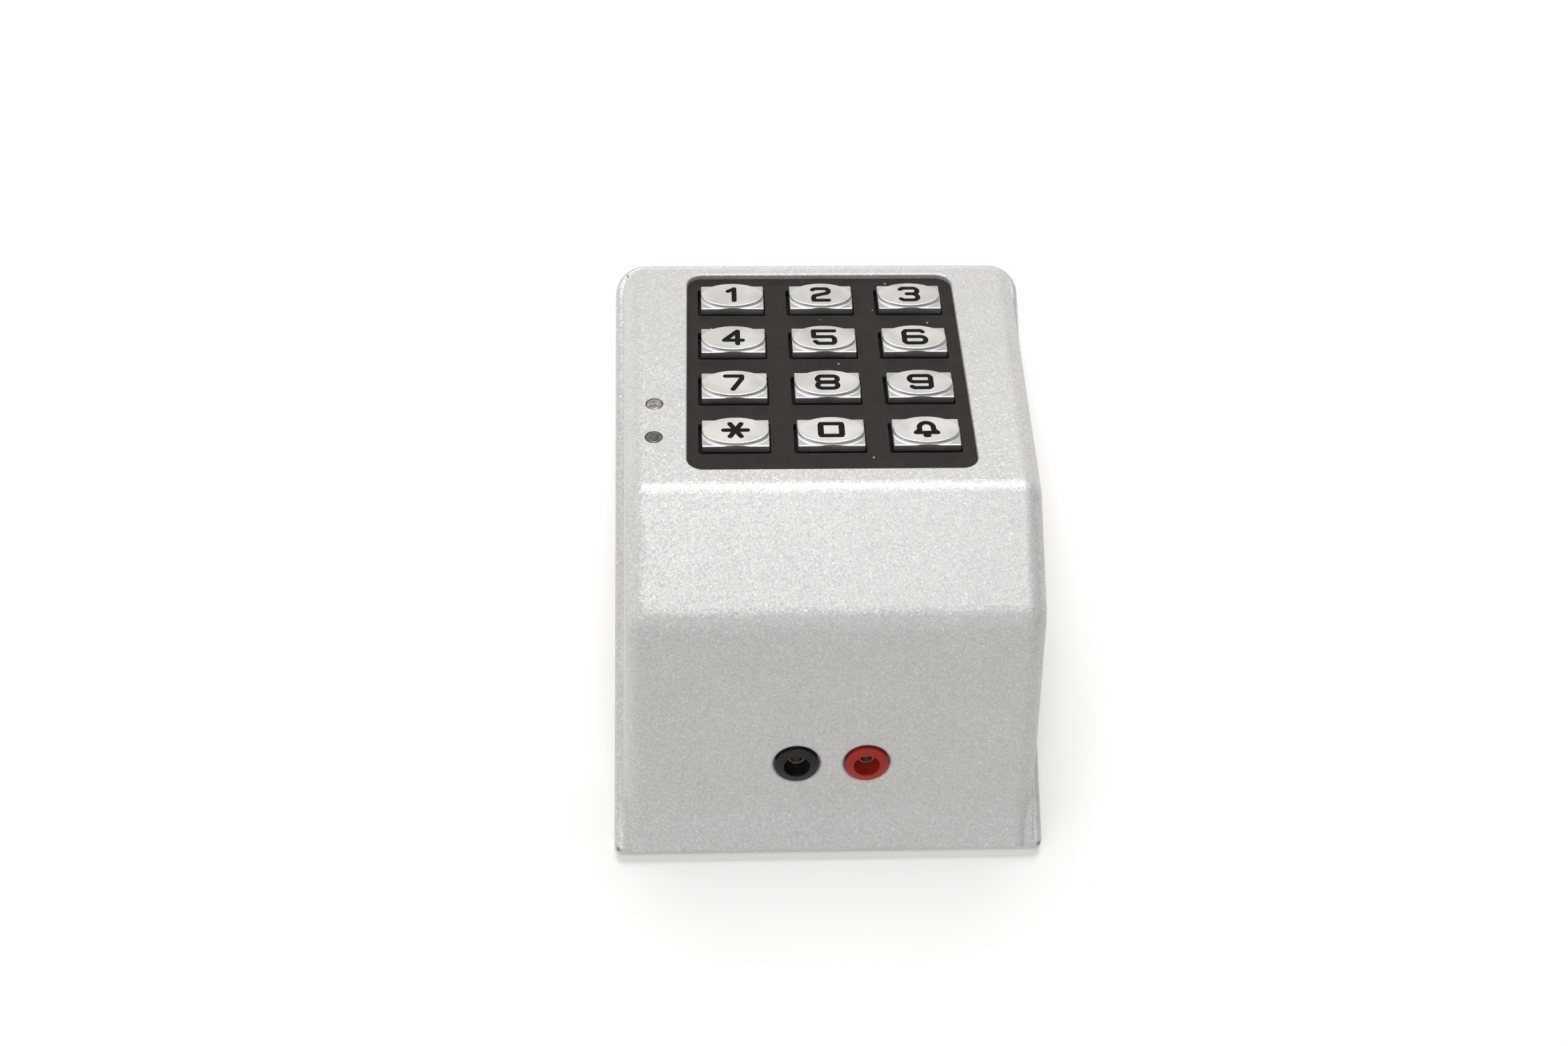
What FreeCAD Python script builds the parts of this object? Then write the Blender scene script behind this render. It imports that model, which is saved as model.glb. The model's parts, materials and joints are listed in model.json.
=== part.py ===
"""Sloped keypad cover for a lock or alarm: cast housing, twelve sprung keys, two lamps, two power sockets.

Frame: the cover lies on its open back. +Z points out of the front, +Y towards the keypad end and +X to
the right. The origin is the centre of the back plane. Millimetres throughout.
"""
import FreeCAD
import Part
import math
import os
from FreeCAD import Vector

# Housing
WIDTH = 79.6
LENGTH = 115.1
LOWER_EDGE_Y = -LENGTH / 2
UPPER_EDGE_Y = LENGTH / 2
WALL = 2.5
FLARE_TOP_Y = -50.7
FLARE_TOP_Z = 6.0
FLARE_ANGLE = 27.0
LOW_RIDGE_Y = -21.5
LOW_RIDGE_Z = 41.0
HIGH_RIDGE_Y = 2.55
HIGH_RIDGE_Z = 41.6
FACE_TILT = 33.28
FLARE_RADIUS = 23.0
HIGH_RIDGE_RADIUS = 4.2
LOW_RIDGE_RADIUS = 6.0
NOSE_RADIUS = 1.4
EDGE_RADIUS = 3.6
SIDE_DRAFT = 2.75
END_DRAFT = 3.0
SKIRT_HEIGHT = 2.6
SKIRT_STEP = 1.6
SKIRT_CORNER = 5.8
SKIRT_NEAR_CORNER = 1.5
SKIRT_ROUND = 1.0
BODY_CORNER = 4.3
INNER_EDGE_RADIUS = 1.2
CORE_OVERLAP = 0.6
POCKET_SIDE = 0.8
POCKET_INSET = 0.45
POCKET_FLOOR = 1.4
SHOULDER_DROP = 0.45
SHOULDER_ROUND = 0.5
SHOULDER_END_Y = -42.0
TOE_HEIGHT = 0.8
TOE_LENGTH = 7.0
TOE_WIDTH = 5.0
TOE_INSET = 1.0

# Fixing posts inside the cover, threaded from the back
POST_X = 33.0
POST_LOW_Y = -28.75
POST_HIGH_Y = 27.25
POST_RADIUS = 3.2
POST_HOLE_RADIUS = 1.65
POST_HOLE_DEPTH = 9.0
POST_SETBACK = 0.6
POST_HIGH_TOP = 12.0

# Keypad, in its own tilted frame: x right, y up the slope, z out of the face, z = 0 on the plate's front
KEYPAD_Y = 29.89
KEYPAD_Z = 22.39
FACE_ABOVE_PLATE = 1.06
WINDOW_HALF_WIDTH = 25.7
WINDOW_LOW = -28.97
WINDOW_HIGH = 27.31
WINDOW_CORNER = 3.0
WINDOW_EDGE_ROUND = 0.35
PLATE_LIP = 2.0
PLATE_UPPER_LIP = 1.5
PLATE_THICKNESS = 1.0
PLATE_CLEARANCE = 0.15
PITCH_X = 17.02
PITCH_Y = 13.19
KEY_WIDTH = 11.96
KEY_DEPTH = 7.12
KEY_SHOULDER = 1.27
KEY_CROWN = 1.96
KEY_EDGE = 0.2
HOLE_GAP_X = 0.48
HOLE_GAP_LOW = 0.55
HOLE_GAP_HIGH = 0.3
HOLE_CORNER = 0.3
HOLE_SHIFT = -0.17
KEY_TRAVEL = 1.2
CROWN_INSET = 0.1
COVE_RADIUS = 0.5
FLANGE_OVERLAP = 0.7
FLANGE_THICKNESS = 0.7
FLANGE_CLEARANCE = 0.1
GROOVE_DEPTH = 0.42
FILL_DEPTH = 0.24
STROKE = 0.98
LEGEND_HALF_WIDTH = 1.93
LEGEND_HALF_HEIGHT = 1.86
MIDDLE_LEGEND_HALF_HEIGHT = 1.72
SHORT_LEGEND_HALF_HEIGHT = 1.6
FRAME_BAR = 2.5
MAT_THICKNESS = 0.8
MAT_FRONT = -3.54
DOME_GAP = 0.05
DOME_FOOT_RADIUS = 4.2
DOME_TOP_RADIUS = 3.1
DOME_WALL = 0.7
BOARD_THICKNESS = 1.6
BOARD_FRONT = MAT_FRONT - MAT_THICKNESS
BOARD_BACK = BOARD_FRONT - BOARD_THICKNESS
BOARD_HALF_WIDTH = 33.0
BOARD_LOW = -31.5
BOARD_HIGH = 28.6
BOARD_SCREW_X = 30.4
BOARD_SCREW_LOW = -27.0
BOARD_SCREW_HIGH = 25.0
BOARD_POST_RADIUS = 2.4
SCREW_RADIUS = 1.1
SCREW_CLEARANCE = 1.3
SCREW_HEAD_RADIUS = 2.1
SCREW_HEAD_HEIGHT = 1.3
SCREW_TIP = -0.6

# Lamps
LAMP_X = -31.54
LAMP_LOW = -20.49
LAMP_HIGH = -11.42
LAMP_WINDOW_RADIUS = 1.62
LAMP_RADIUS = 1.52
LAMP_FLANGE_RADIUS = 1.95
LAMP_FLANGE_TOP = -2.6
LAMP_BASE = -3.5
LAMP_LEAD_RADIUS = 0.25
LAMP_LEAD_SPACING = 2.54

# Power sockets on the lower slope, in a frame with z out of the slope
SOCKET_X = 6.35
SOCKET_Y = -42.9
SOCKET_DISC_RADIUS = 3.9
SOCKET_DISC_EDGE = 0.35
SOCKET_DISC_TOP = 0.75
SOCKET_DISC_ROUND = 0.12
SOCKET_SEAT_RADIUS = 4.05
SOCKET_SEAT_DEPTH = 1.2
SOCKET_SEAT_ROUND = 0.8
SOCKET_BARREL_RADIUS = 3.3
SOCKET_HOLE_RADIUS = 3.4
SOCKET_BACK = -7.5
MOUTH_RADIUS = 2.4
MOUTH_ROUND = 0.15
MOUTH_FOOT = -1.85
MOUTH_FOOT_RADIUS = 1.9
CONTACT_RADIUS = 1.62
CONTACT_BORE_RADIUS = 1.2
CONTACT_TOP = -1.75
CONTACT_BORE_BACK = -7.0
CONTACT_BACK = -9.0
CONTACT_TAIL_RADIUS = 0.9
WASHER_RADIUS = 5.3
WASHER_THICKNESS = 0.5
NUT_ACROSS_FLATS = 10.0
NUT_THICKNESS = 2.2
LEAD_RADIUS = 0.6
LEAD_BEND_SHARE = 0.48
LEAD_TAIL = 3.6
LEAD_ROUTE = [(6.6, -26.6, 4.4), (7.5, -21.4, 12.4), (9.0, -14.5, 22.0)]
LEAD_PAD_X = 12.0
LEAD_PAD_Y = -27.0
LEAD_PAD_RUN = 8.0

SLOPE_ANGLE = math.degrees(math.atan2(LOW_RIDGE_Z - FLARE_TOP_Z, LOW_RIDGE_Y - FLARE_TOP_Y))
SOCKET_Z = FLARE_TOP_Z + (SOCKET_Y - FLARE_TOP_Y) * math.tan(math.radians(SLOPE_ANGLE))
KEY_FLANGE_TOP = -PLATE_THICKNESS - FLANGE_CLEARANCE
KEY_FLANGE_BOTTOM = KEY_FLANGE_TOP - FLANGE_THICKNESS
UP = Vector(0, 0, 1)


def rounded_wire(corners, plane):
    """Closed wire through (a, b, radius) corners with tangent arcs; plane lays each point in space."""
    count = len(corners)
    ends = []
    for i, (a, b, radius) in enumerate(corners):
        here = Vector(a, b, 0)
        back = (Vector(*corners[i - 1][:2], 0) - here).normalize()
        ahead = (Vector(*corners[(i + 1) % count][:2], 0) - here).normalize()
        half_turn = (math.pi - back.getAngle(ahead)) / 2
        reach = radius * math.tan(half_turn)
        inward = (back + ahead).normalize()
        crest = here + inward * (radius / math.cos(half_turn) - radius)
        ends.append((here + back * reach, crest, here + ahead * reach, radius))
    edges = []
    for i, (start, crest, end, radius) in enumerate(ends):
        if radius > 0:
            edges.append(Part.Arc(plane(start), plane(crest), plane(end)).toShape())
        edges.append(Part.LineSegment(plane(end), plane(ends[(i + 1) % count][0])).toShape())
    return Part.Wire(edges)


def flat(point):
    return Vector(point.x, point.y, 0)


def side_on(point):
    return Vector(0, point.x, point.y)


def end_on(point):
    return Vector(point.x, 0, point.y)


def prism(corners, low, high):
    """Upright prism on a rounded outline, from height low to height high."""
    shape = Part.Face(rounded_wire(corners, flat)).extrude(UP * (high - low))
    return shape.translated(UP * low)


def box(x0, x1, y0, y1, z0, z1, corner=0.0):
    return prism([(x0, y0, corner), (x1, y0, corner), (x1, y1, corner), (x0, y1, corner)], z0, z1)


def disc(x, y, radius, low, high):
    return Part.makeCylinder(radius, high - low, Vector(x, y, low), UP)


def join(shapes):
    """One solid out of several that touch or overlap."""
    return shapes[0].multiFuse(shapes[1:]).removeSplitter()


def keypad_placement():
    tilt = FreeCAD.Rotation(Vector(1, 0, 0), -FACE_TILT)
    return FreeCAD.Placement(Vector(0, KEYPAD_Y, KEYPAD_Z), tilt)


def on_keypad(shape):
    """Place a shape made in the keypad's frame."""
    return shape.transformed(keypad_placement().toMatrix())


def slope_placement(x):
    tilt = FreeCAD.Rotation(Vector(1, 0, 0), SLOPE_ANGLE)
    return FreeCAD.Placement(Vector(x, SOCKET_Y, SOCKET_Z), tilt)


def on_slope(shape, x=0.0):
    """Place a shape made in a power socket's frame."""
    return shape.transformed(slope_placement(x).toMatrix())


def face_height(y):
    """Height of the keypad face above the back plane."""
    tilt = math.radians(FACE_TILT)
    top = KEYPAD_Z + FACE_ABOVE_PLATE * math.cos(tilt)
    return top - (y - KEYPAD_Y - FACE_ABOVE_PLATE * math.sin(tilt)) * math.tan(tilt)


def flare_height(y):
    """Height of the flared lower end."""
    return FLARE_TOP_Z - (FLARE_TOP_Y - y) * math.tan(math.radians(FLARE_ANGLE))


def housing_block(inset, edge_radius, corner_radius):
    """Solid wedge with its hump, shrunk by inset. It runs on below the back plane and past the lower end."""
    below = -14.0
    past = LOWER_EDGE_Y - 9.0
    wall_y = UPPER_EDGE_Y - SKIRT_STEP + SKIRT_HEIGHT * math.tan(math.radians(END_DRAFT))
    foot_y = wall_y - below * math.tan(math.radians(END_DRAFT))
    top_y = wall_y - face_height(wall_y) * math.tan(math.radians(END_DRAFT))
    outline = [
        (past, below, 0),
        (foot_y, below, 0),
        (top_y, face_height(top_y), 0),
        (HIGH_RIDGE_Y, HIGH_RIDGE_Z, HIGH_RIDGE_RADIUS),
        (LOW_RIDGE_Y, LOW_RIDGE_Z, LOW_RIDGE_RADIUS),
        (FLARE_TOP_Y, FLARE_TOP_Z, FLARE_RADIUS),
        (past, flare_height(past), 0),
    ]
    profile = rounded_wire(outline, side_on)
    if inset:
        profile = profile.makeOffset2D(-inset)
    block = Part.Face(profile).extrude(Vector(WIDTH, 0, 0)).translated(Vector(-WIDTH / 2, 0, 0))
    block = block.common(between_sides(inset, below))
    upright = [e for e in block.Edges if is_far_corner(e)]
    block = block.makeFillet(corner_radius, upright)
    rim = [e for e in block.Edges if is_top_rim(e, inset)]
    return block.makeFillet(edge_radius, rim)


def between_sides(inset, below):
    """Everything between the two leaning side walls."""
    lean = math.tan(math.radians(SIDE_DRAFT))
    skirt_inner = WIDTH / 2 - SKIRT_STEP - inset
    low_x = skirt_inner + (SKIRT_HEIGHT - below) * lean
    ceiling = HIGH_RIDGE_Z + 5.0
    high_x = skirt_inner - (ceiling - SKIRT_HEIGHT) * lean
    section = [(-low_x, below, 0), (low_x, below, 0), (high_x, ceiling, 0), (-high_x, ceiling, 0)]
    sides = Part.Face(rounded_wire(section, end_on)).extrude(Vector(0, 2 * LENGTH, 0))
    return sides.translated(Vector(0, -LENGTH, 0))


def flare_shoulders():
    """Fills out the rounded side edges of the flare, so they keep a shoulder as they run out."""
    low_y = LOWER_EDGE_Y - 1.0
    outline = [
        (low_y, 0, 0),
        (SHOULDER_END_Y, 0, 0),
        (SHOULDER_END_Y, flare_height(SHOULDER_END_Y) - SHOULDER_DROP, 0),
        (low_y, flare_height(low_y) - SHOULDER_DROP, 0),
    ]
    wedge = Part.Face(rounded_wire(outline, side_on)).extrude(Vector(WIDTH, 0, 0))
    wedge = wedge.translated(Vector(-WIDTH / 2, 0, 0)).common(between_sides(0, -1.0))
    rims = []
    for edge in wedge.Edges:
        sloping = edge.BoundBox.ZLength > 2 and edge.BoundBox.YLength > 5
        if sloping and edge.BoundBox.ZMax > flare_height(SHOULDER_END_Y) - SHOULDER_DROP - 0.1:
            rims.append(edge)
    return wedge.makeFillet(SHOULDER_ROUND, rims)


def is_far_corner(edge):
    """Upright corner between a side wall and the upper end wall."""
    ends = [v.Point for v in edge.Vertexes]
    if len(ends) < 2:
        return False
    return all(abs(p.x) > WIDTH / 4 and p.y > UPPER_EDGE_Y - 12 for p in ends) and \
        abs(ends[0].z - ends[1].z) > 8 and abs(ends[0].y - ends[1].y) < 2.5


def is_top_rim(edge, inset):
    """Edge where the top surfaces meet the side walls or the upper end wall."""
    box_of = edge.BoundBox
    middle = edge.valueAt((edge.FirstParameter + edge.LastParameter) / 2)
    at_side = min(abs(box_of.XMin), abs(box_of.XMax)) > WIDTH / 2 - 11 - inset
    at_end = box_of.YMin > UPPER_EDGE_Y - 10 - inset
    if not (at_side or at_end) or box_of.ZMin < -8.5 - inset * 2:
        return False
    upright = abs(box_of.ZMax - box_of.ZMin) > 8 and abs(box_of.YMax - box_of.YMin) < 2.5
    return not upright and middle.z > -8.5 - inset


def lower_end_trim():
    """Everything kept above the back plane, with the lower end squared off and its edge rounded."""
    top = HIGH_RIDGE_Z + 10
    inside = LOWER_EDGE_Y + 3.5
    outline = [
        (LOWER_EDGE_Y, 0, 0),
        (UPPER_EDGE_Y + 10, 0, 0),
        (UPPER_EDGE_Y + 10, top, 0),
        (inside, top, 0),
        (inside, flare_height(inside), 0),
        (LOWER_EDGE_Y, flare_height(LOWER_EDGE_Y), NOSE_RADIUS),
    ]
    keep = Part.Face(rounded_wire(outline, side_on)).extrude(Vector(WIDTH + 10, 0, 0))
    return keep.translated(Vector(-WIDTH / 2 - 5, 0, 0))


def skirt():
    """Low stepped band round the sides and the upper end."""
    half = WIDTH / 2
    outline = [
        (-half, LOWER_EDGE_Y, SKIRT_NEAR_CORNER),
        (half, LOWER_EDGE_Y, SKIRT_NEAR_CORNER),
        (half, UPPER_EDGE_Y, SKIRT_CORNER),
        (-half, UPPER_EDGE_Y, SKIRT_CORNER),
    ]
    band = prism(outline, 0, SKIRT_HEIGHT)
    top_edges = [e for e in band.Edges if e.BoundBox.ZMin > SKIRT_HEIGHT - 0.01]
    band = band.makeFillet(SKIRT_ROUND, top_edges)
    inner_x = half - SKIRT_STEP - CORE_OVERLAP
    inner_y = UPPER_EDGE_Y - SKIRT_STEP - CORE_OVERLAP
    core = box(-inner_x, inner_x, LOWER_EDGE_Y - 5, inner_y, -1, SKIRT_HEIGHT + 1)
    band = band.cut(core)
    toes = []
    for side in (-1, 1):
        band = band.cut(corner_pocket(side))
        x0, x1 = sorted((side * (half - TOE_WIDTH), side * (half - TOE_INSET)))
        toes.append(box(x0, x1, LOWER_EDGE_Y, LOWER_EDGE_Y + TOE_LENGTH, 0, TOE_HEIGHT))
    return join([band] + toes)


def corner_pocket(side):
    """Small three-sided pocket cast into the top of the band at a lower corner."""
    x = side * (WIDTH / 2 - POCKET_INSET)
    y = LOWER_EDGE_Y + POCKET_INSET
    corners = [(x, y, 0), (x - side * POCKET_SIDE, y, 0), (x, y + POCKET_SIDE, 0)]
    return prism(corners[::side], POCKET_FLOOR, SKIRT_HEIGHT + 1)


def window_cut():
    """Rounded window for the keypad, with the deeper rebate behind it that takes the plate."""
    half = WINDOW_HALF_WIDTH
    window = box(-half, half, WINDOW_LOW, WINDOW_HIGH, -8, 8, WINDOW_CORNER)
    outer = half + PLATE_LIP + PLATE_CLEARANCE
    low = WINDOW_LOW - PLATE_LIP - PLATE_CLEARANCE
    high = WINDOW_HIGH + PLATE_UPPER_LIP + PLATE_CLEARANCE
    rebate = box(-outer, outer, low, high, -5.2, 0)
    return on_keypad(window), on_keypad(rebate)


def board_screw_places():
    places = []
    for x in (-BOARD_SCREW_X, BOARD_SCREW_X):
        for y in (BOARD_SCREW_LOW, BOARD_SCREW_HIGH):
            places.append((x, y))
    return places


def front_housing():
    outer = join([housing_block(0, EDGE_RADIUS, BODY_CORNER), flare_shoulders()])
    cavity = housing_block(WALL, INNER_EDGE_RADIUS, BODY_CORNER - WALL)
    keep = lower_end_trim()
    body = join([outer.common(keep), skirt()])
    inner_posts = []
    for x in (-POST_X, POST_X):
        inner_posts.append(disc(x, POST_LOW_Y, POST_RADIUS, POST_SETBACK, HIGH_RIDGE_Z).common(outer))
        inner_posts.append(disc(x, POST_HIGH_Y, POST_RADIUS, POST_SETBACK, POST_HIGH_TOP))
    for x, y in board_screw_places():
        inner_posts.append(on_keypad(disc(x, y, BOARD_POST_RADIUS, BOARD_FRONT, -WALL / 2)))
    body = body.cut(cavity)
    body = join([body] + inner_posts)
    window, rebate = window_cut()
    holes = [window, rebate]
    for x in (-POST_X, POST_X):
        for y in (POST_LOW_Y, POST_HIGH_Y):
            holes.append(disc(x, y, POST_HOLE_RADIUS, 0, POST_SETBACK + POST_HOLE_DEPTH))
    for x, y in board_screw_places():
        holes.append(on_keypad(disc(x, y, SCREW_RADIUS, BOARD_FRONT - 1, SCREW_TIP)))
    for y in (LAMP_LOW, LAMP_HIGH):
        holes.append(on_keypad(disc(LAMP_X, y, LAMP_WINDOW_RADIUS, -4, 4)))
    for x in (-SOCKET_X, SOCKET_X):
        holes.append(on_slope(disc(0, 0, SOCKET_HOLE_RADIUS, -8, 2), x))
        holes.append(on_slope(disc(0, 0, SOCKET_SEAT_RADIUS, -SOCKET_SEAT_DEPTH, 6), x))
    body = body.cut(holes)
    return soften_seats(soften_window(body))


def soften_window(body):
    """Round the window's front edge slightly."""
    back = keypad_placement().inverse()
    chosen = []
    for edge in body.Edges:
        points = [back.multVec(p) for p in edge.discretize(5)]
        level = all(abs(p.z - FACE_ABOVE_PLATE) < 0.01 for p in points)
        inside = all(abs(p.x) < WINDOW_HALF_WIDTH + 0.1 for p in points)
        within = all(WINDOW_LOW - 0.1 < p.y < WINDOW_HIGH + 0.1 for p in points)
        if level and inside and within and len(edge.Vertexes) == 2:
            chosen.append(edge)
    return body.makeFillet(WINDOW_EDGE_ROUND, chosen)


def soften_seats(body):
    """Round the outer edge of each power socket's seat."""
    chosen = []
    for x in (-SOCKET_X, SOCKET_X):
        back = slope_placement(x).inverse()
        for edge in body.Edges:
            points = [back.multVec(p) for p in edge.discretize(5)]
            if all(abs(p.z) < 0.01 and abs(p.Length - SOCKET_SEAT_RADIUS) < 0.05 for p in points):
                chosen.append(edge)
    return body.makeFillet(SOCKET_SEAT_ROUND, chosen)


def key_centre(column, row):
    return (column - 1) * PITCH_X, (1.5 - row) * PITCH_Y


def keypad_plate():
    """Dark plate behind the window, with a hole for each key."""
    half = WINDOW_HALF_WIDTH + PLATE_LIP
    plate_low = WINDOW_LOW - PLATE_LIP
    plate_high = WINDOW_HIGH + PLATE_UPPER_LIP
    plate = box(-half, half, plate_low, plate_high, -PLATE_THICKNESS, 0)
    holes = []
    for column in range(3):
        for row in range(4):
            x, y = key_centre(column, row)
            x += HOLE_SHIFT
            dx = KEY_WIDTH / 2 + HOLE_GAP_X
            low = y - KEY_DEPTH / 2 - HOLE_GAP_LOW
            high = y + KEY_DEPTH / 2 + HOLE_GAP_HIGH
            holes.append(box(x - dx, x + dx, low, high, -3, 3, HOLE_CORNER))
    return on_keypad(plate.cut(holes))


def keypad_frame():
    """Spacer frame that holds the plate off the mat and clears the keys' flanges."""
    half = WINDOW_HALF_WIDTH + PLATE_LIP
    low = WINDOW_LOW - PLATE_LIP
    high = WINDOW_HIGH + PLATE_UPPER_LIP
    ring = box(-half, half, low, high, MAT_FRONT, -PLATE_THICKNESS)
    inner = box(-half + FRAME_BAR, half - FRAME_BAR, low + FRAME_BAR, high - FRAME_BAR, -9, 3, 1.0)
    return on_keypad(ring.cut(inner))


def keypad_mat():
    """Silicone sheet with a hollow dome under each key."""
    half = WINDOW_HALF_WIDTH + PLATE_LIP
    low = WINDOW_LOW - PLATE_LIP
    high = WINDOW_HIGH + PLATE_UPPER_LIP
    sheet = box(-half, half, low, high, BOARD_FRONT, MAT_FRONT)
    rise = KEY_FLANGE_BOTTOM - DOME_GAP - MAT_FRONT
    domes = []
    hollows = []
    for column in range(3):
        for row in range(4):
            x, y = key_centre(column, row)
            foot = Vector(x, y, MAT_FRONT)
            domes.append(Part.makeCone(DOME_FOOT_RADIUS, DOME_TOP_RADIUS, rise, foot, UP))
            depth = rise + MAT_THICKNESS - DOME_WALL
            under = Vector(x, y, BOARD_FRONT)
            foot_radius = DOME_FOOT_RADIUS - DOME_WALL / 2
            hollows.append(Part.makeCone(foot_radius, DOME_TOP_RADIUS - DOME_WALL, depth, under, UP))
    return on_keypad(join([sheet] + domes).cut(hollows))


def circuit_board():
    board = box(-BOARD_HALF_WIDTH, BOARD_HALF_WIDTH, BOARD_LOW, BOARD_HIGH, BOARD_BACK, BOARD_FRONT, 1.0)
    holes = []
    for x, y in board_screw_places():
        holes.append(disc(x, y, SCREW_CLEARANCE, -9, 3))
    for x, y in lamp_lead_places():
        holes.append(disc(x, y, LAMP_LEAD_RADIUS + 0.1, -9, 3))
    return on_keypad(board.cut(holes))


def board_screws():
    """Pan-head screws that clamp the board, mat, frame and plate to the housing."""
    screws = []
    for x, y in board_screw_places():
        shank = disc(x, y, SCREW_RADIUS - 0.02, BOARD_BACK, SCREW_TIP - 0.2)
        head = disc(x, y, SCREW_HEAD_RADIUS, BOARD_BACK - SCREW_HEAD_HEIGHT, BOARD_BACK)
        rim = [e for e in head.Edges if e.BoundBox.ZMax < BOARD_BACK - SCREW_HEAD_HEIGHT + 0.01]
        head = head.makeFillet(0.5, rim)
        slot_low = BOARD_BACK - SCREW_HEAD_HEIGHT
        arm = box(x - 1.2, x + 1.2, y - 0.25, y + 0.25, slot_low - 1, slot_low + 0.7)
        cross = box(x - 0.25, x + 0.25, y - 1.2, y + 1.2, slot_low - 1, slot_low + 0.7)
        screws.append(join([shank, head]).cut([arm, cross]))
    return on_keypad(Part.makeCompound(screws))


def lamp(y):
    """Round-nosed lamp that toes its window flush with the face."""
    nose = FACE_ABOVE_PLATE
    body = round_top(disc(LAMP_X, y, LAMP_RADIUS, LAMP_FLANGE_TOP, nose), nose, 0.45)
    flange = disc(LAMP_X, y, LAMP_FLANGE_RADIUS, LAMP_BASE, LAMP_FLANGE_TOP)
    return on_keypad(join([body, flange]))


def lamp_lead_places():
    places = []
    for y in (LAMP_LOW, LAMP_HIGH):
        for side in (-1, 1):
            places.append((LAMP_X, y + side * LAMP_LEAD_SPACING / 2))
    return places


def lamp_leads():
    leads = [disc(x, y, LAMP_LEAD_RADIUS, BOARD_BACK - 0.8, LAMP_BASE) for x, y in lamp_lead_places()]
    return on_keypad(Part.makeCompound(leads))


def bar(p, q):
    """Straight stroke with round ends, as a unit-high solid."""
    start = Vector(p[0], p[1], 0)
    run = Vector(q[0], q[1], 0) - start
    beam = Part.makeBox(run.Length, STROKE, 1, Vector(0, -STROKE / 2, 0))
    turn = math.degrees(math.atan2(run.y, run.x))
    beam = beam.transformed(FreeCAD.Placement(start, FreeCAD.Rotation(UP, turn)).toMatrix())
    return [beam, disc(p[0], p[1], STROKE / 2, 0, 1), disc(q[0], q[1], STROKE / 2, 0, 1)]


def bend(x, y, radius, start, sweep):
    """Curved stroke about a centre, from the start angle through the sweep angle."""
    outer = Part.makeCylinder(radius + STROKE / 2, 1, Vector(x, y, 0), UP, sweep)
    inner = Part.makeCylinder(radius - STROKE / 2, 1, Vector(x, y, 0), UP, sweep)
    ring = outer.cut(inner)
    ring.rotate(Vector(x, y, 0), UP, start)
    return [ring]


def run_of_bars(*points):
    strokes = []
    for p, q in zip(points, points[1:]):
        strokes += bar(p, q)
    return strokes


def glyph_strokes(name):
    """Strokes of one plain legend, centred on the key."""
    w = LEGEND_HALF_WIDTH
    h = LEGEND_HALF_HEIGHT
    if name == "0":
        return ring_strokes(w, SHORT_LEGEND_HALF_HEIGHT)
    if name == "1":
        return run_of_bars((-0.8, 0.56 * h), (0.35, 0.94 * h), (0.35, -h)) + bar((0.35, h), (0.35, 0))
    if name == "2":
        return run_of_bars((-1.55, 0.77 * h), (-1.1, 0.95 * h), (0.75, 0.95 * h)) \
            + bend(0.75, 0.54 * h, 0.41 * h, -80, 170) \
            + run_of_bars((0.87, 0.14 * h), (-1.2, -0.22 * h), (-1.4, -0.49 * h), (-1.4, -h), (1.45, -h))
    if name == "3":
        r = 0.48 * h
        return run_of_bars((-1.6, 0.8 * h), (-1.1, h), (0.75, h)) + bend(0.75, h - r, r, -90, 180) \
            + run_of_bars((0.75, h - 2 * r), (-0.35, h - 2 * r)) + bend(0.75, r - h, r, -90, 180) \
            + run_of_bars((0.75, -h), (-1.1, -h), (-1.6, -0.8 * h))
    if name == "4":
        return run_of_bars((0.75, h), (-1.65, -0.44 * h), (1.7, -0.44 * h)) + bar((0.8, h), (0.8, -h))
    if name == "5":
        return run_of_bars((w, h), (-w, h), (-w, 0.06 * h), (1.5, 0.06 * h), (w, -0.22 * h),
                           (w, -0.8 * h), (1.6, -h), (-1.15, -h), (-1.65, -0.71 * h))
    if name == "6":
        return hooked_strokes(w, h, 1)
    if name == "7":
        return run_of_bars((-1.6, h), (1.35, h), (1.35, 0.59 * h), (-0.25, -h))
    if name == "8":
        return eight_strokes(MIDDLE_LEGEND_HALF_HEIGHT)
    if name == "9":
        return hooked_strokes(w, MIDDLE_LEGEND_HALF_HEIGHT, -1)
    if name == "star":
        return star_strokes()
    return bell_strokes()


def ring_strokes(w, h):
    """Wide oblong ring with cut corners and heavy sides."""
    cut = 0.35
    side = w - 0.12
    outer = [(cut - w, -h), (w - cut, -h), (w, cut - h), (w, h - cut), (w - cut, h), (cut - w, h),
             (-w, h - cut), (-w, cut - h), (cut - w, -h)]
    return run_of_bars(*outer) + bar((side, -h), (side, h)) + bar((-side, -h), (-side, h))


def hooked_strokes(w, h, turn):
    """The figure 6, or 9 when turn is -1."""
    hook = [(1.6, 0.8 * h), (1.2, h), (-1.5, h), (-w, 0.74 * h), (-w, -0.74 * h), (-1.5, -h), (1.1, -h)]
    strokes = run_of_bars(*[(turn * x, turn * y) for x, y in hook])
    strokes += bend(turn * 1.1, turn * -0.49 * h, 0.51 * h, -90 * turn, 180)
    return strokes + bar((turn * 1.1, turn * 0.02 * h), (turn * -w, turn * 0.02 * h))


def eight_strokes(h):
    strokes = []
    r = 0.48 * h
    for middle in (h - r, r - h):
        strokes += run_of_bars((-1.0, middle + r), (1.0, middle + r))
        strokes += run_of_bars((-1.0, middle - r), (1.0, middle - r))
        strokes += bend(1.0, middle, r, -90, 180) + bend(-1.0, middle, r, 90, 180)
    return strokes


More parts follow.
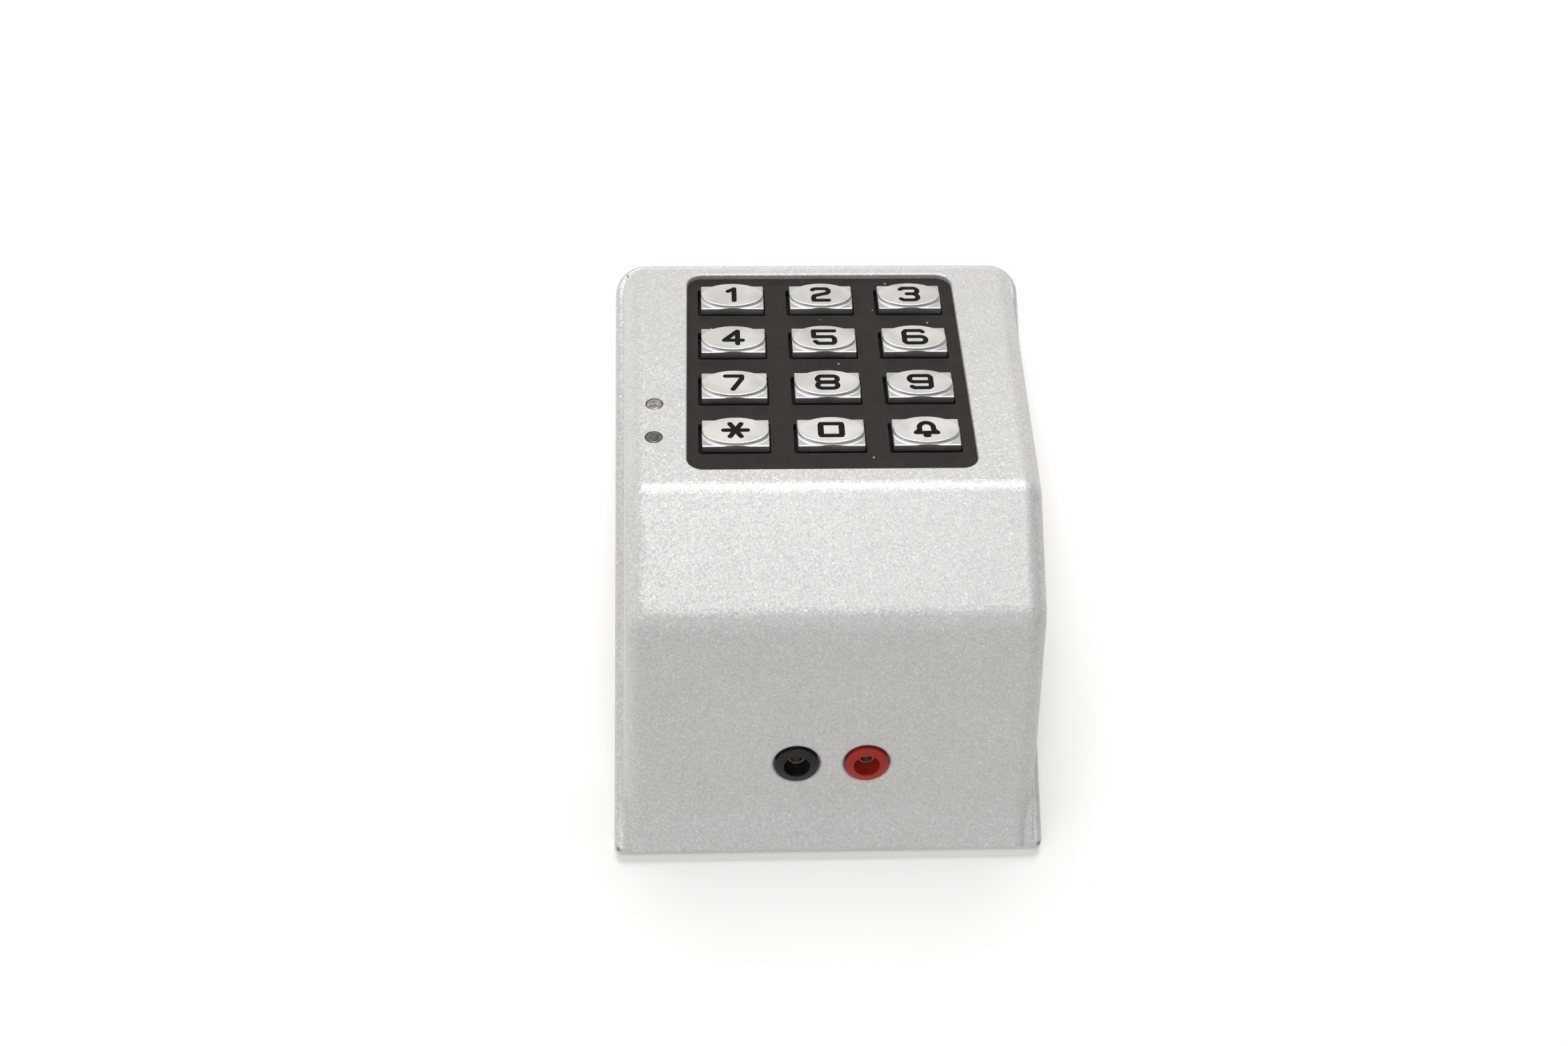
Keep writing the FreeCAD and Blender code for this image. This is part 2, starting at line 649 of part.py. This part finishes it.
def star_strokes():
    strokes = []
    for turn in (0, 60, 120):
        reach = 2.1 if turn == 0 else 1.95
        tip = Vector(math.cos(math.radians(turn)), math.sin(math.radians(turn)), 0) * reach
        strokes += bar((-tip.x, -tip.y), (tip.x, tip.y))
    return strokes


def bell_strokes():
    return run_of_bars((-1.9, -0.95), (1.9, -0.95), (1.25, -0.2), (1.25, 0.45)) \
        + run_of_bars((-1.9, -0.95), (-1.25, -0.2), (-1.25, 0.45)) + bend(0, 0.45, 1.25, 0, 180) \
        + bar((-0.25, -1.75), (0.25, -1.75))


def glyph(name, low, high):
    """A legend as one upright solid between two heights."""
    shape = join(glyph_strokes(name))
    stretch = FreeCAD.Matrix()
    stretch.scale(1, 1, high - low)
    return shape.transformGeometry(stretch).translated(UP * low)


def key_blank():
    """Key: flanged block with a raised oval crown and a cove down to its shoulders."""
    half_x = KEY_WIDTH / 2
    half_y = KEY_DEPTH / 2
    block = box(-half_x, half_x, -half_y, half_y, KEY_FLANGE_TOP - 0.1, KEY_SHOULDER)
    sharp = [e for e in block.Edges if e.BoundBox.ZMax > KEY_SHOULDER - 0.01]
    block = block.makeFillet(KEY_EDGE, sharp)
    rim = half_x - CROWN_INSET
    foot = rim + COVE_RADIUS
    spring = KEY_SHOULDER + 0.02 + COVE_RADIUS
    arm = COVE_RADIUS * (1 - math.sqrt(0.5))
    step = KEY_EDGE * (1 - math.sqrt(0.5))
    axis_foot = Vector(0, 0, 0)
    skirt_foot = Vector(foot, 0, 0)
    cove_foot = Vector(foot, 0, spring - COVE_RADIUS)
    cove_middle = Vector(rim + arm, 0, spring - COVE_RADIUS + arm)
    cove_top = Vector(rim, 0, spring)
    round_foot = Vector(rim, 0, KEY_CROWN - KEY_EDGE)
    round_middle = Vector(rim - step, 0, KEY_CROWN - step)
    round_top_end = Vector(rim - KEY_EDGE, 0, KEY_CROWN)
    axis_top = Vector(0, 0, KEY_CROWN)
    edges = [
        Part.LineSegment(axis_foot, skirt_foot).toShape(),
        Part.LineSegment(skirt_foot, cove_foot).toShape(),
        Part.Arc(cove_foot, cove_middle, cove_top).toShape(),
        Part.LineSegment(cove_top, round_foot).toShape(),
        Part.Arc(round_foot, round_middle, round_top_end).toShape(),
        Part.LineSegment(round_top_end, axis_top).toShape(),
        Part.LineSegment(axis_top, axis_foot).toShape(),
    ]
    crown = Part.Face(Part.Wire(edges)).revolve(axis_foot, UP, 360)
    squash = FreeCAD.Matrix()
    squash.scale(1, (half_y - CROWN_INSET) / rim, 1)
    crown = crown.transformGeometry(squash)
    inside = box(-half_x + 0.01, half_x - 0.01, -half_y + 0.01, half_y - 0.01, 0, KEY_CROWN + 1, KEY_EDGE)
    crown = crown.common(inside)
    reach_x = half_x + FLANGE_OVERLAP
    reach_y = half_y + FLANGE_OVERLAP
    flange = box(-reach_x, reach_x, -reach_y, reach_y, KEY_FLANGE_BOTTOM, KEY_FLANGE_TOP, 0.6)
    return join([block, crown, flange])


def keys_and_legends():
    """Every key with its engraved legend, and the black filling of each engraving."""
    blank = key_blank()
    names = ["1", "2", "3", "4", "5", "6", "7", "8", "9", "star", "0", "bell"]
    shapes = {}
    for index, name in enumerate(names):
        x, y = key_centre(index % 3, index // 3)
        place = Vector(x, y, 0)
        floor = KEY_CROWN - GROOVE_DEPTH
        groove = glyph(name, floor, KEY_CROWN + 1)
        filling = glyph(name, floor, floor + FILL_DEPTH)
        shapes["key_" + name] = on_keypad(blank.cut(groove).translated(place))
        shapes["legend_" + name] = on_keypad(filling.translated(place))
    return shapes


def socket_body(x):
    """Insulated socket: coned disc with a funnel mouth, over the barrel that holds the contact."""
    outline = [
        (CONTACT_RADIUS, SOCKET_BACK, 0),
        (SOCKET_BARREL_RADIUS, SOCKET_BACK, 0),
        (SOCKET_BARREL_RADIUS, -SOCKET_SEAT_DEPTH, 0),
        (SOCKET_DISC_RADIUS, -SOCKET_SEAT_DEPTH, 0),
        (SOCKET_DISC_RADIUS, SOCKET_DISC_EDGE, SOCKET_DISC_ROUND),
        (MOUTH_RADIUS, SOCKET_DISC_TOP, MOUTH_ROUND),
        (MOUTH_FOOT_RADIUS, MOUTH_FOOT, 0),
        (CONTACT_RADIUS, MOUTH_FOOT, 0),
    ]
    section = Part.Face(rounded_wire(outline, end_on))
    return on_slope(section.revolve(Vector(0, 0, 0), UP, 360), x)


def round_top(shape, top, radius):
    """Round the edges of an upright solid's top face."""
    return shape.makeFillet(radius, [e for e in shape.Edges if e.BoundBox.ZMin > top - 0.01])


def socket_contact(x):
    """Metal sleeve that takes the power plug, with a solder tail behind."""
    sleeve = disc(0, 0, CONTACT_RADIUS, SOCKET_BACK, CONTACT_TOP)
    sleeve = round_top(sleeve, CONTACT_TOP, 0.15)
    bore = disc(0, 0, CONTACT_BORE_RADIUS, CONTACT_BORE_BACK, 5)
    tail = disc(0, 0, CONTACT_TAIL_RADIUS, CONTACT_BACK, SOCKET_BACK)
    return on_slope(join([sleeve, tail]).cut(bore), x)


def socket_washers():
    washers = []
    for x in (-SOCKET_X, SOCKET_X):
        ring = disc(0, 0, WASHER_RADIUS, -WALL - WASHER_THICKNESS, -WALL)
        washers.append(on_slope(ring.cut(disc(0, 0, SOCKET_BARREL_RADIUS, -9, 1)), x))
    return Part.makeCompound(washers)


def socket_nuts():
    nuts = []
    top = -WALL - WASHER_THICKNESS
    reach = NUT_ACROSS_FLATS / 2 / math.cos(math.radians(30))
    corners = []
    for k in range(6):
        turn = math.radians(60 * k + 30)
        corners.append((reach * math.cos(turn), reach * math.sin(turn), 0))
    for x in (-SOCKET_X, SOCKET_X):
        nut = prism(corners, top - NUT_THICKNESS, top)
        nuts.append(on_slope(nut.cut(disc(0, 0, SOCKET_BARREL_RADIUS, -19, 1)), x))
    return Part.makeCompound(nuts)


def board_part(shape):
    """Place a part that stands on the back of the circuit board."""
    return on_keypad(shape.translated(UP * BOARD_BACK))


def controller_chip():
    return board_part(box(-14, -4, -4, 4, -2.4, -0.1, 0.3))


def chip_pins():
    pins = []
    for k in range(8):
        y = -3.5 + k
        pins.append(box(-15.2, -14, y - 0.2, y + 0.2, -1.2, 0))
        pins.append(box(-4, -2.8, y - 0.2, y + 0.2, -1.2, 0))
    return board_part(Part.makeCompound(pins))


def sounder():
    """Round piezo sounder with its sound hole."""
    can = disc(16, -4, 6, -4.5, 0)
    return board_part(can.cut(disc(16, -4, 1, -6, -3.5)))


def capacitor():
    can = disc(3, 12, 2.5, -5.4, 0)
    rim = [e for e in can.Edges if e.BoundBox.ZMax < -5.3]
    return board_part(can.makeFillet(0.5, rim))


def resistors():
    chips = []
    for k in range(6):
        x = -24 + 4 * k
        chips.append(box(x - 0.8, x + 0.8, 15.4, 18.6, -0.6, 0))
    return board_part(Part.makeCompound(chips))


def cable_header():
    """Open-topped pin header for the cable that comes from the lock."""
    shell = box(-7.5, 7.5, -21, -14.5, -7, 0, 0.3)
    return board_part(shell.cut(box(-6.7, 6.7, -20.2, -15.3, -9, -1)))


def header_pins():
    pins = []
    for k in range(5):
        x = -5.08 + 2.54 * k
        pins.append(box(x - 0.32, x + 0.32, -18.07, -17.43, -5.6, -1))
    return board_part(Part.makeCompound(pins))


def bent_tube(points, radius):
    """Tube of straight runs joined by large tangent arcs."""
    edges = []
    start = points[0]
    for i in range(1, len(points) - 1):
        back = (points[i - 1] - points[i])
        ahead = (points[i + 1] - points[i])
        shorter = min(back.Length, ahead.Length)
        back.normalize()
        ahead.normalize()
        half_turn = (math.pi - back.getAngle(ahead)) / 2
        bend_radius = LEAD_BEND_SHARE * shorter / math.tan(half_turn)
        print("lead bend radius %.1f mm" % bend_radius)
        inward = (back + ahead).normalize()
        crest = points[i] + inward * (bend_radius / math.cos(half_turn) - bend_radius)
        arc_start = points[i] + back * (LEAD_BEND_SHARE * shorter)
        arc_end = points[i] + ahead * (LEAD_BEND_SHARE * shorter)
        edges.append(Part.LineSegment(start, arc_start).toShape())
        edges.append(Part.Arc(arc_start, crest, arc_end).toShape())
        start = arc_end
    edges.append(Part.LineSegment(start, points[-1]).toShape())
    spine = Part.Wire(edges)
    section = Part.Wire([Part.makeCircle(radius, points[0], points[1] - points[0])])
    tube = spine.makePipeShell([section], True, True)
    print("lead volume error %.2f%%" % (100 * (tube.Volume / (math.pi * radius ** 2 * spine.Length) - 1)))
    return tube


def socket_lead(side):
    """Insulated lead from a socket's tail up the inside of the slope to its pad on the board."""
    tilt = math.radians(SLOPE_ANGLE)
    inward = Vector(0, math.sin(tilt), -math.cos(tilt))
    tail = Vector(side * SOCKET_X, SOCKET_Y, SOCKET_Z) + inward * -CONTACT_BACK
    keypad = keypad_placement()
    pad = keypad.multVec(Vector(side * LEAD_PAD_X, LEAD_PAD_Y, BOARD_BACK))
    below_pad = keypad.multVec(Vector(side * LEAD_PAD_X, LEAD_PAD_Y, BOARD_BACK - LEAD_PAD_RUN))
    route = [Vector(side * x, y, z) for x, y, z in LEAD_ROUTE]
    return bent_tube([tail, tail + inward * LEAD_TAIL] + route + [below_pad, pad], LEAD_RADIUS)


def build_all():
    shapes = {
        "front_housing": front_housing(),
        "keypad_plate": keypad_plate(),
        "keypad_frame": keypad_frame(),
        "keypad_mat": keypad_mat(),
        "circuit_board": circuit_board(),
        "board_screws": board_screws(),
        "lamp_upper": lamp(LAMP_HIGH),
        "lamp_lower": lamp(LAMP_LOW),
        "lamp_leads": lamp_leads(),
        "socket_body_black": socket_body(-SOCKET_X),
        "socket_body_red": socket_body(SOCKET_X),
        "socket_contact_black": socket_contact(-SOCKET_X),
        "socket_contact_red": socket_contact(SOCKET_X),
        "socket_washers": socket_washers(),
        "socket_nuts": socket_nuts(),
        "socket_lead_black": socket_lead(-1),
        "socket_lead_red": socket_lead(1),
        "controller_chip": controller_chip(),
        "chip_pins": chip_pins(),
        "sounder": sounder(),
        "capacitor": capacitor(),
        "resistors": resistors(),
        "cable_header": cable_header(),
        "header_pins": header_pins(),
    }
    shapes.update(keys_and_legends())
    return shapes


os.makedirs("parts", exist_ok=True)
for node, shape in build_all().items():
    bounds = shape.BoundBox
    print("%-22s solids %d valid %s volume %.1f z %.2f to %.2f" % (
        node, len(shape.Solids), shape.isValid(), shape.Volume, bounds.ZMin, bounds.ZMax))
    shape.exportStep("parts/%s.step" % node)
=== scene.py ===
"""Looks for a sloped keypad cover: sparkle paint, satin keys with filled engravings, sockets and lamps."""
import bpy
import json
import math
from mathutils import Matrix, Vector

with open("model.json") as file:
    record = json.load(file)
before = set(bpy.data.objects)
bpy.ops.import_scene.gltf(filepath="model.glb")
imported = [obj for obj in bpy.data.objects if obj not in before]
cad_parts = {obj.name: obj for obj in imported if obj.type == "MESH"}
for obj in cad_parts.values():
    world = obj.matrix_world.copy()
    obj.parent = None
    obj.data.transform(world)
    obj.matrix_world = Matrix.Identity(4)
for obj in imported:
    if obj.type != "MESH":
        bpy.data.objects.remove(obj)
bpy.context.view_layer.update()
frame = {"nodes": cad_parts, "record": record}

MM = 0.001
KEYPAD_TILT = math.radians(33.28)
KEYPAD_ORIGIN = (0.0, 29.89 * MM, 22.39 * MM)
SMOOTH_ANGLE = math.radians(28)
FLOOR_WIDTH = 3.0
SENSOR_WIDTH = 36.0
LENS = 45.19
CAMERA_PLACE = (-0.02237, -0.07995, 0.37174)
CAMERA_TURN = (12.964, -2.104, -0.958)
LIGHT_TARGET = (0, 0, 0.02)


class Surface:
    """One Principled shader, with textures laid in the part's own coordinates."""

    def __init__(self, name, **sockets):
        self.material = bpy.data.materials.new(name)
        self.material.use_nodes = True
        self.tree = self.material.node_tree
        self.shader = self.tree.nodes["Principled BSDF"]
        for socket, value in sockets.items():
            self.shader.inputs[socket.replace("_", " ")].default_value = value
        self.place = self.tree.nodes.new("ShaderNodeTexCoord").outputs["Object"]

    def node(self, kind, **settings):
        made = self.tree.nodes.new("ShaderNode" + kind)
        for name, value in settings.items():
            setattr(made, name, value)
        return made

    def feed(self, socket, value):
        """Link an output to a socket, or set a plain value on it."""
        if isinstance(value, bpy.types.NodeSocket):
            self.tree.links.new(value, socket)
        else:
            socket.default_value = value

    def stretched(self, stretch):
        mapping = self.node("Mapping")
        self.feed(mapping.inputs["Vector"], self.place)
        mapping.inputs["Scale"].default_value = stretch
        return mapping.outputs["Vector"]

    def noise(self, size, detail=2.0, stretch=None):
        """Soft noise with features about size millimetres across."""
        made = self.node("TexNoise")
        self.feed(made.inputs["Vector"], self.stretched(stretch) if stretch else self.place)
        made.inputs["Scale"].default_value = 1 / (size * MM)
        made.inputs["Detail"].default_value = detail
        return made.outputs["Fac"]

    def cells(self, size):
        """Random cells about size millimetres across: their colour, and the distance to their middle."""
        made = self.node("TexVoronoi")
        self.feed(made.inputs["Vector"], self.place)
        made.inputs["Scale"].default_value = 1 / (size * MM)
        return made.outputs["Color"], made.outputs["Distance"]

    def remap(self, value, low, high, to_low=0.0, to_high=1.0):
        made = self.node("MapRange")
        self.feed(made.inputs["Value"], value)
        for name, number in (("From Min", low), ("From Max", high), ("To Min", to_low), ("To Max", to_high)):
            made.inputs[name].default_value = number
        return made.outputs["Result"]

    def math(self, operation, a, b=0.0):
        made = self.node("Math", operation=operation)
        self.feed(made.inputs[0], a)
        self.feed(made.inputs[1], b)
        return made.outputs["Value"]

    def vector(self, operation, a, b=None, scale=None):
        made = self.node("VectorMath", operation=operation)
        self.feed(made.inputs[0], a)
        if b is not None:
            self.feed(made.inputs[1], b)
        if scale is not None:
            self.feed(made.inputs["Scale"], scale)
        return made.outputs["Vector"]

    def channel(self, colour, index):
        made = self.node("SeparateXYZ")
        self.feed(made.inputs["Vector"], colour)
        return made.outputs[index]

    def blend(self, factor, a, b, mode="MIX"):
        made = self.node("Mix", data_type="RGBA", blend_type=mode)
        self.feed(made.inputs["Factor"], factor)
        self.feed(made.inputs[6], a)
        self.feed(made.inputs[7], b)
        return made.outputs[2]

    def set(self, socket, value):
        self.feed(self.shader.inputs[socket], value)

    def bump(self, height, depth, strength=0.5):
        """Relief about depth millimetres deep."""
        made = self.node("Bump")
        self.feed(made.inputs["Height"], height)
        made.inputs["Strength"].default_value = strength
        made.inputs["Distance"].default_value = depth * MM
        self.set("Normal", made.outputs["Normal"])

    def tilt_cells(self, colour, amount):
        """Lean the surface a little differently in each random cell, as metal flakes lie."""
        lean = self.vector("SUBTRACT", colour, (0.5, 0.5, 0.5))
        lean = self.vector("SCALE", lean, scale=amount)
        normal = self.node("NewGeometry").outputs["Normal"]
        self.set("Normal", self.vector("NORMALIZE", self.vector("ADD", normal, lean)))


def rgb(red, green, blue):
    return (red, green, blue, 1.0)


def sparkle_paint():
    """Silver paint full of fine flake: pale and dark grains, faint colours, and a few painted glints, rare
    flake cells made brighter in the colour.
    """
    paint = Surface("sparkle_silver_paint", Metallic=0.4)
    flake = paint.cells(0.26)[0]
    fine = paint.cells(0.14)[0]
    tone = paint.math("ADD", paint.channel(flake, 0), paint.channel(fine, 1))
    tone = paint.remap(tone, 0.3, 1.7, 0.82, 1.14)
    # painted glints: a few random flake cells brighter in the base colour, standing in for flakes catching
    # the light
    painted_glint = paint.remap(paint.channel(flake, 2), 0.93, 0.97, 0.0, 0.2)
    broad = paint.remap(paint.noise(9.0), 0.3, 0.7, 0.985, 1.015)
    tone = paint.math("MULTIPLY", paint.math("ADD", tone, painted_glint), broad)
    tint = paint.blend(0.03, rgb(0.565, 0.56, 0.545), flake)
    shade = paint.node("CombineXYZ")
    for index in range(3):
        paint.feed(shade.inputs[index], tone)
    colour = paint.vector("MULTIPLY", tint, shade.outputs["Vector"])
    paint.set("Base Color", chipped(paint, colour))
    paint.set("Roughness", paint.remap(paint.channel(fine, 0), 0.0, 1.0, 0.4, 0.54))
    paint.tilt_cells(flake, 0.22)
    return paint.material


def chipped(paint, colour):
    """Small dark chips in the paint, only low on the skirt."""
    height = paint.channel(paint.place, 2)
    low = paint.remap(height, 1.0 * MM, 2.6 * MM, 0.7, 0.0)
    chip = paint.remap(paint.noise(0.5, 3.0), 0.66, 0.72)
    return paint.blend(paint.math("MULTIPLY", low, chip), colour, rgb(0.2, 0.19, 0.18))


def satin_metal():
    """Satin chrome of the keys, with fine grain and faint marks: darker below the crown as painted shade and
    finger wear, near black in the plate as painted shade.
    """
    metal = Surface("satin_key_metal", Metallic=1.0)
    smear = metal.remap(metal.noise(4.0, 3.0), 0.3, 0.7)
    clean = metal.blend(smear, rgb(0.785, 0.765, 0.74), rgb(0.735, 0.71, 0.68))
    height = keypad_height(metal)
    # painted shade and finger wear: the key below the crown coloured darker than the finger-polished crown
    shoulder_shade_and_wear = metal.remap(height, 1.45 * MM, 1.85 * MM, 1.0, 0.0)
    worn_and_shaded = metal.blend(shoulder_shade_and_wear, clean, rgb(0.64, 0.64, 0.65))
    # painted shade: key metal at and below the plate's face made near black, where the holes lie in shadow
    hole_shade = metal.remap(height, -0.35 * MM, 0.05 * MM, 1.0, 0.0)
    metal.set("Base Color", metal.blend(hole_shade, worn_and_shaded, rgb(0.02, 0.019, 0.018)))
    grain = metal.noise(0.12, 2.0, (1.0, 0.35, 0.35))
    metal.set("Roughness", metal.remap(metal.math("ADD", grain, smear), 0.3, 1.6, 0.36, 0.48))
    metal.bump(grain, 0.008, 0.3)
    return metal.material


def keypad_height(surface):
    """Height above the face of the keypad's plate, in metres."""
    across = surface.vector("SUBTRACT", surface.place, KEYPAD_ORIGIN)
    out = surface.node("VectorMath", operation="DOT_PRODUCT")
    surface.feed(out.inputs[0], across)
    out.inputs[1].default_value = (0.0, math.sin(KEYPAD_TILT), math.cos(KEYPAD_TILT))
    return out.outputs["Value"]


def legend_enamel():
    """Brown-black enamel in the engravings, slightly uneven."""
    enamel = Surface("legend_black", Specular_IOR_Level=0.08)
    uneven = enamel.noise(0.5, 3.0)
    enamel.set("Base Color", enamel.blend(uneven, rgb(0.004, 0.0035, 0.003), rgb(0.012, 0.01, 0.009)))
    enamel.set("Roughness", enamel.remap(uneven, 0.3, 0.7, 0.35, 0.6))
    enamel.bump(uneven, 0.08, 0.5)
    return enamel.material


def dark_plate():
    """Matte brown-black plate with dust caught on it."""
    plate = Surface("matte_dark_plate", Specular_IOR_Level=0.17)
    mottle = plate.remap(plate.noise(2.5, 5.0), 0.35, 0.65)
    base = plate.blend(mottle, rgb(0.018, 0.0145, 0.0125), rgb(0.027, 0.0225, 0.02))
    speck, middle = plate.cells(2.6)
    rare = plate.remap(plate.channel(speck, 0), 0.72, 0.74)
    small = plate.remap(middle, 0.05, 0.09, 1.0, 0.0)
    dust = plate.math("MULTIPLY", rare, small)
    plate.set("Base Color", plate.blend(dust, base, rgb(0.42, 0.4, 0.37)))
    plate.set("Roughness", plate.remap(mottle, 0.0, 1.0, 0.55, 0.72))
    plate.bump(plate.noise(0.15, 2.0), 0.02, 0.4)
    return plate.material


def moulded(name, dark, light, low=0.3, high=0.45, grain=0.2):
    """Moulded plastic: two close tones and a fine grain."""
    plastic = Surface(name, Specular_IOR_Level=0.25)
    tone = plastic.remap(plastic.noise(1.6, 4.0), 0.3, 0.7)
    plastic.set("Base Color", plastic.blend(tone, rgb(*dark), rgb(*light)))
    plastic.set("Roughness", plastic.remap(tone, 0.0, 1.0, low, high))
    plastic.bump(plastic.noise(grain, 2.0), 0.015, 0.4)
    return plastic.material


def plated(name, dark, light, low=0.22, high=0.4):
    """Plated or bare metal with light tarnish."""
    metal = Surface(name, Metallic=1.0)
    tarnish = metal.remap(metal.noise(1.0, 4.0), 0.35, 0.65)
    metal.set("Base Color", metal.blend(tarnish, rgb(*light), rgb(*dark)))
    metal.set("Roughness", metal.remap(tarnish, 0.0, 1.0, low, high))
    metal.bump(metal.noise(0.1, 2.0), 0.01, 0.3)
    return metal.material


def cloudy_lens(name, core, rim):
    """Tinted lamp lens, cloudy with two close tones."""
    lens = Surface(name, Coat_Weight=0.8, Coat_Roughness=0.12)
    cloud = lens.remap(lens.noise(0.8, 3.0), 0.35, 0.65)
    lens.set("Base Color", lens.blend(cloud, rgb(*core), rgb(*rim)))
    lens.set("Roughness", lens.remap(cloud, 0.0, 1.0, 0.25, 0.4))
    lens.bump(cloud, 0.03, 0.3)
    return lens.material


def board_laminate():
    """Green solder mask with a faint pattern of paler lines."""
    board = Surface("board_laminate")
    rows = board.node("TexBrick")
    board.feed(rows.inputs["Vector"], board.place)
    rows.inputs["Scale"].default_value = 1 / (9 * MM)
    rows.inputs["Mortar Size"].default_value = 0.03
    rows.inputs["Color1"].default_value = rgb(0.012, 0.1, 0.04)
    rows.inputs["Color2"].default_value = rgb(0.014, 0.115, 0.046)
    rows.inputs["Mortar"].default_value = rgb(0.04, 0.2, 0.08)
    speck = board.remap(board.noise(1.2, 4.0), 0.3, 0.7, 0.3, 0.42)
    board.set("Base Color", rows.outputs["Color"])
    board.set("Roughness", speck)
    board.bump(rows.outputs["Fac"], 0.03, 0.5)
    return board.material


def materials():
    black = moulded("black_plastic", (0.008, 0.007, 0.006), (0.016, 0.014, 0.013))
    return {
        "sparkle_silver_paint": sparkle_paint(),
        "satin_key_metal": satin_metal(),
        "legend_black": legend_enamel(),
        "matte_dark_plate": dark_plate(),
        "black_plastic": black,
        "red_plastic": moulded("red_plastic", (0.28, 0.014, 0.008), (0.34, 0.02, 0.012)),
        "silicone": moulded("silicone", (0.012, 0.012, 0.013), (0.02, 0.02, 0.021), 0.5, 0.65),
        "board_laminate": board_laminate(),
        "zinc_steel": plated("zinc_steel", (0.45, 0.44, 0.42), (0.66, 0.66, 0.65)),
        "tinned_metal": plated("tinned_metal", (0.55, 0.55, 0.53), (0.78, 0.78, 0.76)),
        "contact_brass": plated("contact_brass", (0.6, 0.52, 0.45), (0.85, 0.78, 0.7), 0.2, 0.35),
        "amber_grey_lens": cloudy_lens("amber_grey_lens", (0.42, 0.38, 0.33), (0.12, 0.1, 0.08)),
        "dark_green_lens": cloudy_lens("dark_green_lens", (0.16, 0.16, 0.14), (0.03, 0.035, 0.03)),
        "black_insulation": moulded("black_insulation", (0.012,) * 3, (0.022,) * 3, 0.4, 0.55),
        "red_insulation": moulded("red_insulation", (0.36, 0.02, 0.02), (0.45, 0.03, 0.03), 0.4, 0.55),
        "capacitor_sleeve": moulded("capacitor_sleeve", (0.015, 0.025, 0.09), (0.02, 0.035, 0.12), 0.2, 0.3),
        "header_nylon": moulded("header_nylon", (0.62, 0.58, 0.5), (0.72, 0.69, 0.61), 0.4, 0.55),
    }


def dress_nodes():
    """Give every CAD node its finish and smooth its curved faces."""
    finish = materials()
    for entry in frame["record"]["subparts"]:
        node = frame["nodes"][entry["node"]]
        node.data.materials.clear()
        node.data.materials.append(finish[entry["material_slot"]])
        node.data.polygons.foreach_set("use_smooth", [True] * len(node.data.polygons))
        node.data.set_sharp_from_angle(angle=SMOOTH_ANGLE)


def add_camera():
    """Camera above the lower end, looking down at the keypad."""
    data = bpy.data.cameras.new("camera")
    data.sensor_width = SENSOR_WIDTH
    data.lens = LENS
    data.clip_start = 0.01
    camera = bpy.data.objects.new("camera", data)
    camera.location = CAMERA_PLACE
    camera.rotation_euler = [math.radians(angle) for angle in CAMERA_TURN]
    bpy.context.scene.collection.objects.link(camera)
    bpy.context.scene.camera = camera


def add_floor():
    """Plain pale table, much larger than the cover."""
    half = FLOOR_WIDTH / 2
    corners = [(-half, -half, 0), (half, -half, 0), (half, half, 0), (-half, half, 0)]
    mesh = bpy.data.meshes.new("floor")
    mesh.from_pydata(corners, [], [(0, 1, 2, 3)])
    floor = bpy.data.objects.new("floor", mesh)
    bpy.context.scene.collection.objects.link(floor)
    table = Surface("table", Roughness=0.6, Specular_IOR_Level=0.2)
    table.set("Base Color", table.blend(table.noise(40.0), rgb(0.94, 0.92, 0.9), rgb(0.96, 0.94, 0.92)))
    mesh.materials.append(table.material)


def add_area(name, place, size, power):
    """White rectangular light, aimed at the middle of the cover."""
    data = bpy.data.lights.new(name, "AREA")
    data.shape = "RECTANGLE"
    data.size = size[0]
    data.size_y = size[1]
    data.energy = power
    light = bpy.data.objects.new(name, data)
    light.location = place
    aim = Vector(LIGHT_TARGET) - Vector(place)
    light.rotation_euler = aim.to_track_quat("-Z", "Y").to_euler()
    bpy.context.scene.collection.objects.link(light)


WHITE_PANELS = (
    # direction it faces the object from, where it starts and is full (cosine), strength
    ((-1, 0, 0.3), 0.5, 0.95, 1.1),
    ((1, 0, 0.3), 0.5, 0.95, 0.4),
    ((0, -1, 0.2), 0.55, 0.95, 0.75),
    ((0, -1, 1), 0.75, 0.98, 0.5),
)


def add_room():
    """Unlit room with soft white panels around the object, as a smooth pattern on the world."""
    world = bpy.data.worlds.new("studio")
    world.use_nodes = True
    tree = world.node_tree
    background = tree.nodes["Background"]
    direction = tree.nodes.new("ShaderNodeTexCoord").outputs["Generated"]
    total = None
    for facing, start, full, strength in WHITE_PANELS:
        cosine = tree.nodes.new("ShaderNodeVectorMath")
        cosine.operation = "DOT_PRODUCT"
        tree.links.new(direction, cosine.inputs[0])
        cosine.inputs[1].default_value = Vector(facing).normalized()
        panel = tree.nodes.new("ShaderNodeMapRange")
        panel.interpolation_type = "SMOOTHSTEP"
        tree.links.new(cosine.outputs["Value"], panel.inputs["Value"])
        panel.inputs["From Min"].default_value = start
        panel.inputs["From Max"].default_value = full
        panel.inputs["To Max"].default_value = strength
        light = panel.outputs["Result"]
        if total is not None:
            add = tree.nodes.new("ShaderNodeMath")
            tree.links.new(total, add.inputs[0])
            tree.links.new(light, add.inputs[1])
            light = add.outputs["Value"]
        total = light
    tree.links.new(total, background.inputs["Strength"])
    background.inputs["Color"].default_value = rgb(1.0, 1.0, 1.0)
    bpy.context.scene.world = world


def add_lights():
    add_room()
    add_area("overhead", (0.0, 0.05, 1.0), (0.5, 0.35), 2.3)
    add_area("beyond", (0.0, 0.75, 0.76), (0.7, 0.5), 9.8)


def set_view():
    bpy.context.scene.view_settings.view_transform = "Standard"
    bpy.context.scene.view_settings.look = "None"


dress_nodes()
add_camera()
add_floor()
add_lights()
set_view()
